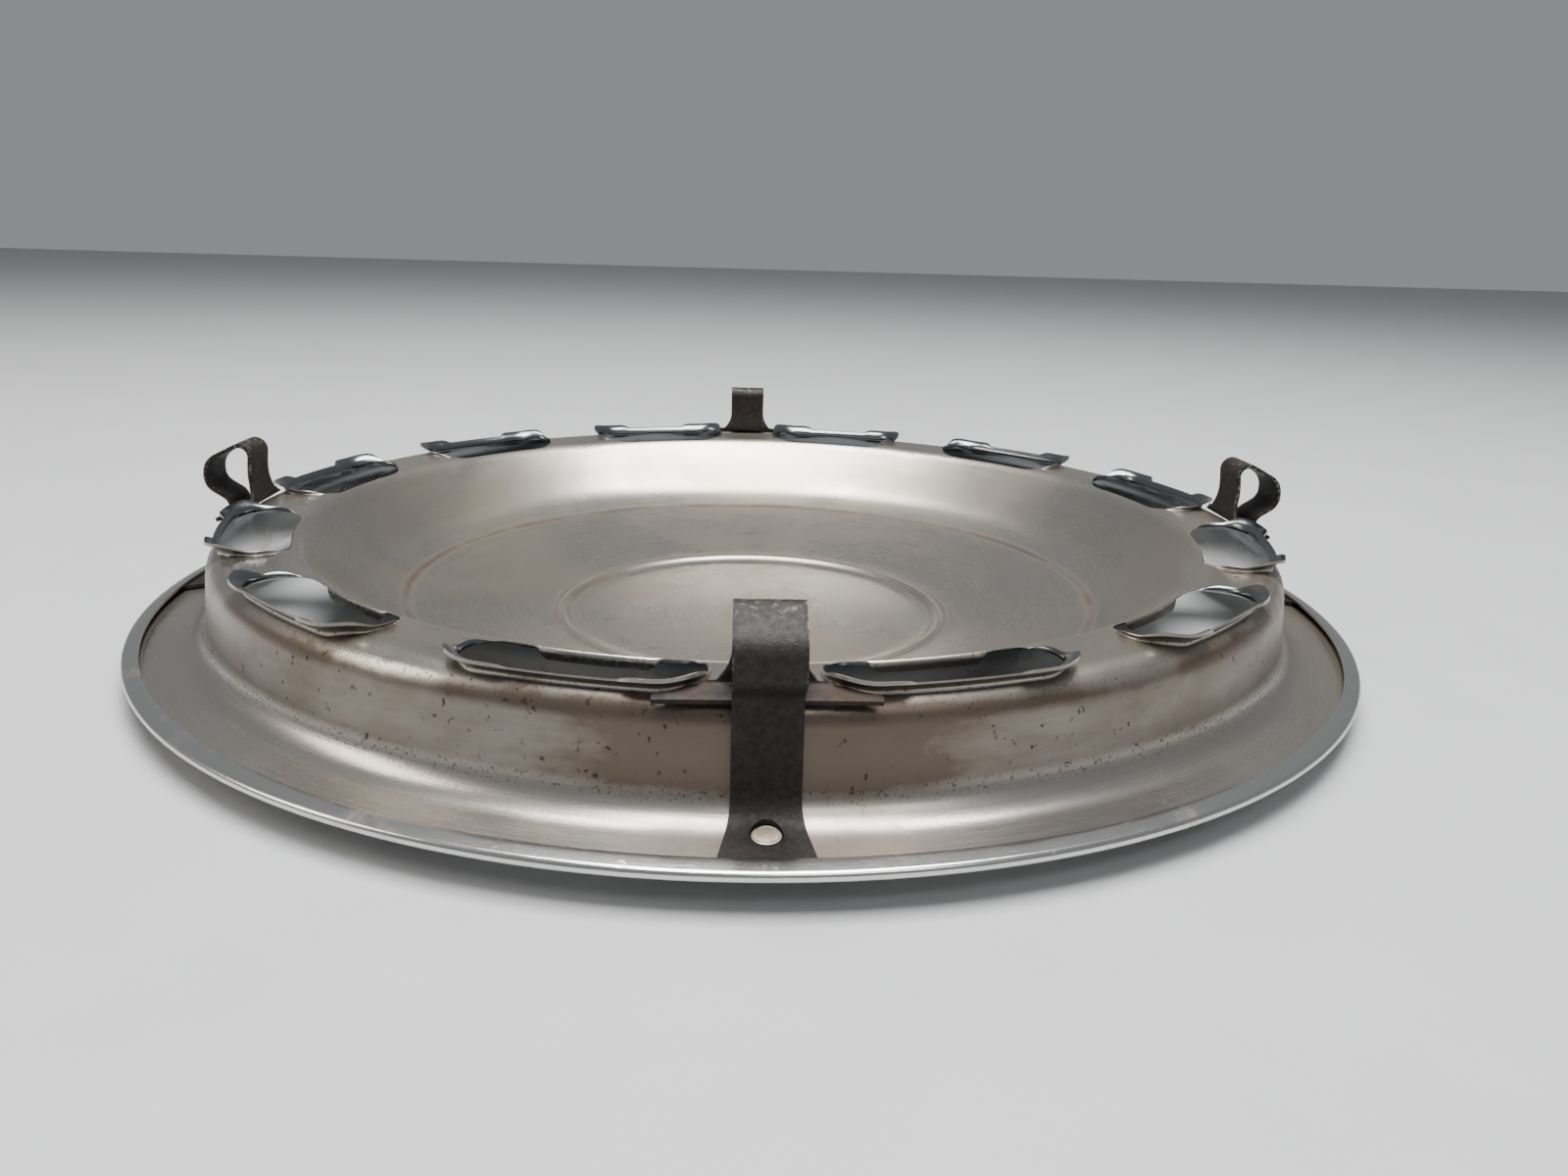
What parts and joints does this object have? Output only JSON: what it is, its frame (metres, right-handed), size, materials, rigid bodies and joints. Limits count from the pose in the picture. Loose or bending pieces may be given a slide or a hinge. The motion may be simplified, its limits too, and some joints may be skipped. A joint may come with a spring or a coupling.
{
  "type": "wheel cover",
  "caption": "Full disc wheel cover of pressed stainless steel, back side up, with a ring of vent slots and sprung retaining clips.",
  "frame": {"origin": "on the axle line, at the flat centre of the face that the cover rests on", "axes": "+Z along the axle, out of the back of the cover towards the wheel; the clips are on +X, +Y, -X and -Y, and the front clip is on -Y"},
  "size_m": [0.39, 0.39, 0.0573],
  "materials": {
    "stainless": "pressed stainless sheet, satin with fine circular brushing and brown staining",
    "spring_steel": "dark phosphated spring steel, fine grained, worn at the edges",
    "stud_steel": "plain steel stud top, dull and spotted"
  },
  "bodies": {
    "disc": {"cover": "stainless", "stud_front": "stud_steel", "stud_right": "stud_steel", "stud_back": "stud_steel", "stud_left": "stud_steel"},
    "front_clip": {"clip_front": "spring_steel"},
    "right_clip": {"clip_right": "spring_steel"},
    "back_clip": {"clip_back": "spring_steel"},
    "left_clip": {"clip_left": "spring_steel"}
  },
  "joints": [
    {"name": "front_clip_flex", "type": "hinge", "parent": "disc", "child": "front_clip", "pos_m": [0, -0.178, 0.0104], "axis": [-1, 0, 0], "range_deg": [0, 1.4], "stiffness_Nm_per_rad": 20},
    {"name": "right_clip_flex", "type": "hinge", "parent": "disc", "child": "right_clip", "pos_m": [0.178, 0, 0.0104], "axis": [0, -1, 0], "range_deg": [0, 1.4], "stiffness_Nm_per_rad": 20},
    {"name": "back_clip_flex", "type": "hinge", "parent": "disc", "child": "back_clip", "pos_m": [0, 0.178, 0.0104], "axis": [1, 0, 0], "range_deg": [0, 1.4], "stiffness_Nm_per_rad": 20},
    {"name": "left_clip_flex", "type": "hinge", "parent": "disc", "child": "left_clip", "pos_m": [-0.178, 0, 0.0104], "axis": [0, 1, 0], "range_deg": [0, 1.4], "stiffness_Nm_per_rad": 20}
  ]
}
